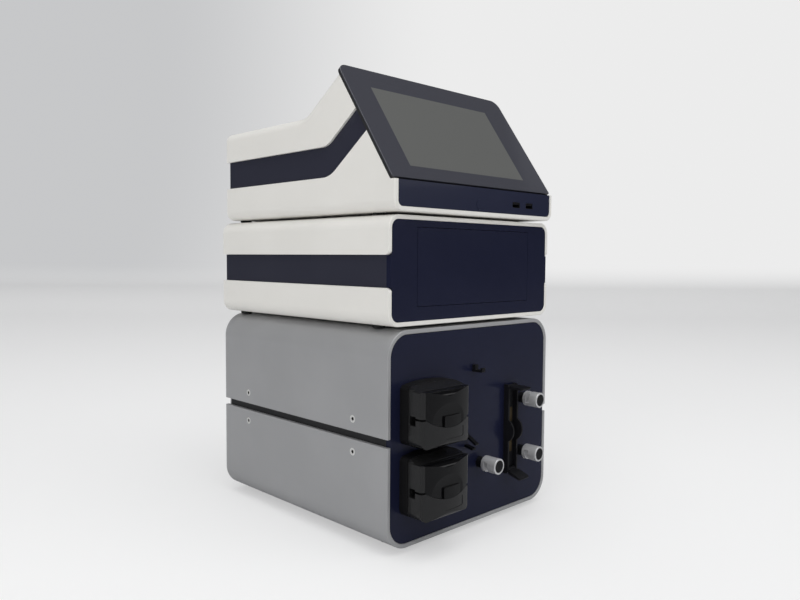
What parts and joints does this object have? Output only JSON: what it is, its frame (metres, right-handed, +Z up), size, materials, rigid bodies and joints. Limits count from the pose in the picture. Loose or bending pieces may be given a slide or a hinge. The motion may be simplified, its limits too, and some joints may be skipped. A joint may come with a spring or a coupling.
{
  "type": "electroporator",
  "caption": "Stacked bench electroporator: sloping screen unit, cuvette drawer unit, and a flow unit with flip-lid tube pumps, pinch valves and a cartridge dock.",
  "frame": {"origin": "middle of the stack's footprint on the table, at the soles of the feet", "axes": "+X to the right along the front, +Y to the back, +Z up"},
  "size_m": [0.256, 0.329, 0.4786],
  "materials": {
    "aluminium_shell": "satin anodised",
    "dark_frame": "satin",
    "navy_panel": "gloss",
    "navy_band": "satin",
    "white_shell": "satin",
    "grey_plate": "satin",
    "black_gloss": "gloss",
    "black_matte": "matte",
    "white_plastic": "satin",
    "steel": "brushed",
    "bright_aluminium": "turned",
    "brass_contact": "plated",
    "rubber": "matte",
    "screen_glass": "gloss",
    "display_black": "satin",
    "circuit_board": "satin"
  },
  "bodies": {
    "stack": {"display_module": "display_black", "dock_channel": "black_matte", "dock_contacts": "brass_contact", "drawer_motor": "steel", "drawer_rails": "steel", "drawer_unit_bottom_shell": "white_shell", "drawer_unit_front_panel": "navy_panel", "drawer_unit_rear_panel": "grey_plate", "drawer_unit_top_shell": "white_shell", "fan_frame": "black_matte", "flow_bottom_shell": "aluminium_shell", "flow_chassis": "dark_frame", "flow_front_panel": "navy_panel", "flow_rear_panel": "grey_plate", "flow_top_shell": "aluminium_shell", "link_sockets": "steel", "lower_pump_housing": "black_gloss", "main_board": "circuit_board", "mains_inlet": "black_matte", "mains_supply": "grey_plate", "pulse_generator": "circuit_board", "pump_motors": "steel", "rubber_feet": "rubber", "screen_frame": "dark_frame", "screen_glass": "screen_glass", "screen_unit_bottom_shell": "white_shell", "screen_unit_front_strip": "navy_panel", "screen_unit_rear_panel": "grey_plate", "screen_unit_top_shell": "white_shell", "side_bands": "navy_band", "side_screws": "steel", "tube_clips": "black_matte", "upper_pump_housing": "black_gloss", "usb_sockets": "steel", "valve_heads": "bright_aluminium", "valve_inserts": "black_matte", "valve_solenoids": "black_matte"},
    "lower_lid": {"lower_pump_lid": "black_gloss"},
    "lower_rotor": {"lower_pump_rotor": "white_plastic"},
    "lower_roller_1": {"lower_pump_roller_1": "steel"},
    "lower_roller_2": {"lower_pump_roller_2": "steel"},
    "lower_roller_3": {"lower_pump_roller_3": "steel"},
    "upper_lid": {"upper_pump_lid": "black_gloss"},
    "upper_rotor": {"upper_pump_rotor": "white_plastic"},
    "upper_roller_1": {"upper_pump_roller_1": "steel"},
    "upper_roller_2": {"upper_pump_roller_2": "steel"},
    "upper_roller_3": {"upper_pump_roller_3": "steel"},
    "right_high_plunger": {"valve_plunger_right_high": "steel"},
    "right_low_plunger": {"valve_plunger_right_low": "steel"},
    "left_low_plunger": {"valve_plunger_left_low": "steel"},
    "latch": {"dock_latch": "black_matte"},
    "lever": {"dock_lever": "black_matte"},
    "fan": {"fan_rotor": "black_matte"},
    "drawer": {"drawer_front": "navy_panel", "drawer_tray": "white_plastic", "cuvette_carrier": "white_plastic"},
    "pinion": {"drawer_pinion": "white_plastic"},
    "head": {"contact_head": "white_plastic"},
    "button": {"power_button": "steel"},
    "rocker": {"power_rocker": "black_matte"}
  },
  "joints": [
    {"name": "lower_lid_hinge", "type": "hinge", "parent": "stack", "child": "lower_lid", "pos_m": [-0.07775, -0.15845, 0.087], "axis": [-1, 0, 0], "range_deg": [0, 100]},
    {"name": "lower_rotor_spin", "type": "hinge", "parent": "stack", "child": "lower_rotor", "pos_m": [-0.07775, -0.13545, 0.063], "axis": [0, 1, 0], "continuous": true},
    {"name": "lower_roller_1_spin", "type": "hinge", "parent": "lower_rotor", "child": "lower_roller_1", "pos_m": [-0.07775, -0.14645, 0.0742], "axis": [0, 1, 0], "continuous": true},
    {"name": "lower_roller_2_spin", "type": "hinge", "parent": "lower_rotor", "child": "lower_roller_2", "pos_m": [-0.08745, -0.14645, 0.0574], "axis": [0, 1, 0], "continuous": true},
    {"name": "lower_roller_3_spin", "type": "hinge", "parent": "lower_rotor", "child": "lower_roller_3", "pos_m": [-0.06805, -0.14645, 0.0574], "axis": [0, 1, 0], "continuous": true},
    {"name": "upper_lid_hinge", "type": "hinge", "parent": "stack", "child": "upper_lid", "pos_m": [-0.07775, -0.15845, 0.156], "axis": [-1, 0, 0], "range_deg": [0, 100]},
    {"name": "upper_rotor_spin", "type": "hinge", "parent": "stack", "child": "upper_rotor", "pos_m": [-0.07775, -0.13545, 0.132], "axis": [0, 1, 0], "continuous": true},
    {"name": "upper_roller_1_spin", "type": "hinge", "parent": "upper_rotor", "child": "upper_roller_1", "pos_m": [-0.07775, -0.14645, 0.1432], "axis": [0, 1, 0], "continuous": true},
    {"name": "upper_roller_2_spin", "type": "hinge", "parent": "upper_rotor", "child": "upper_roller_2", "pos_m": [-0.08745, -0.14645, 0.1264], "axis": [0, 1, 0], "continuous": true},
    {"name": "upper_roller_3_spin", "type": "hinge", "parent": "upper_rotor", "child": "upper_roller_3", "pos_m": [-0.06805, -0.14645, 0.1264], "axis": [0, 1, 0], "continuous": true},
    {"name": "right_high_plunger_slide", "type": "slide", "parent": "stack", "child": "right_high_plunger", "axis": [0, -1, 0], "range_m": [0, 0.004], "stiffness_N_per_m": 150},
    {"name": "right_low_plunger_slide", "type": "slide", "parent": "stack", "child": "right_low_plunger", "axis": [0, -1, 0], "range_m": [0, 0.004], "stiffness_N_per_m": 150},
    {"name": "left_low_plunger_slide", "type": "slide", "parent": "stack", "child": "left_low_plunger", "axis": [0, -1, 0], "range_m": [0, 0.004], "stiffness_N_per_m": 150},
    {"name": "latch_hinge", "type": "hinge", "parent": "stack", "child": "latch", "pos_m": [0.05825, -0.1337, 0.1445], "axis": [-1, 0, 0], "range_deg": [0, 75]},
    {"name": "lever_hinge", "type": "hinge", "parent": "stack", "child": "lever", "pos_m": [0.05825, -0.1337, 0.0515], "axis": [1, 0, 0], "range_deg": [0, 40]},
    {"name": "fan_spin", "type": "hinge", "parent": "stack", "child": "fan", "pos_m": [0.062, 0.12615, 0.1255], "axis": [0, 1, 0], "continuous": true},
    {"name": "drawer_slide", "type": "slide", "parent": "stack", "child": "drawer", "axis": [0, -1, 0], "range_m": [0, 0.115]},
    {"name": "pinion_spin", "type": "hinge", "parent": "stack", "child": "pinion", "pos_m": [-0.036, -0.10045, 0.2353], "axis": [1, 0, 0], "range_deg": [0, 1100]},
    {"name": "head_slide", "type": "slide", "parent": "stack", "child": "head", "axis": [0, 0, -1], "range_m": [0, 0.006]},
    {"name": "button_press", "type": "slide", "parent": "stack", "child": "button", "axis": [0, 1, 0], "range_m": [0, 0.001], "stiffness_N_per_m": 400},
    {"name": "rocker_hinge", "type": "hinge", "parent": "stack", "child": "rocker", "pos_m": [0.05, 0.14535, 0.3601], "axis": [1, 0, 0], "range_deg": [0, 16]}
  ],
  "couplings": [
    {"joint": "lower_roller_1_spin", "follows": "lower_rotor_spin", "ratio": -2.8983},
    {"joint": "lower_roller_2_spin", "follows": "lower_rotor_spin", "ratio": -2.8983},
    {"joint": "lower_roller_3_spin", "follows": "lower_rotor_spin", "ratio": -2.8983},
    {"joint": "upper_roller_1_spin", "follows": "upper_rotor_spin", "ratio": -2.8983},
    {"joint": "upper_roller_2_spin", "follows": "upper_rotor_spin", "ratio": -2.8983},
    {"joint": "upper_roller_3_spin", "follows": "upper_rotor_spin", "ratio": -2.8983},
    {"joint": "pinion_spin", "follows": "drawer_slide", "rad_per_m": 166.67}
  ]
}
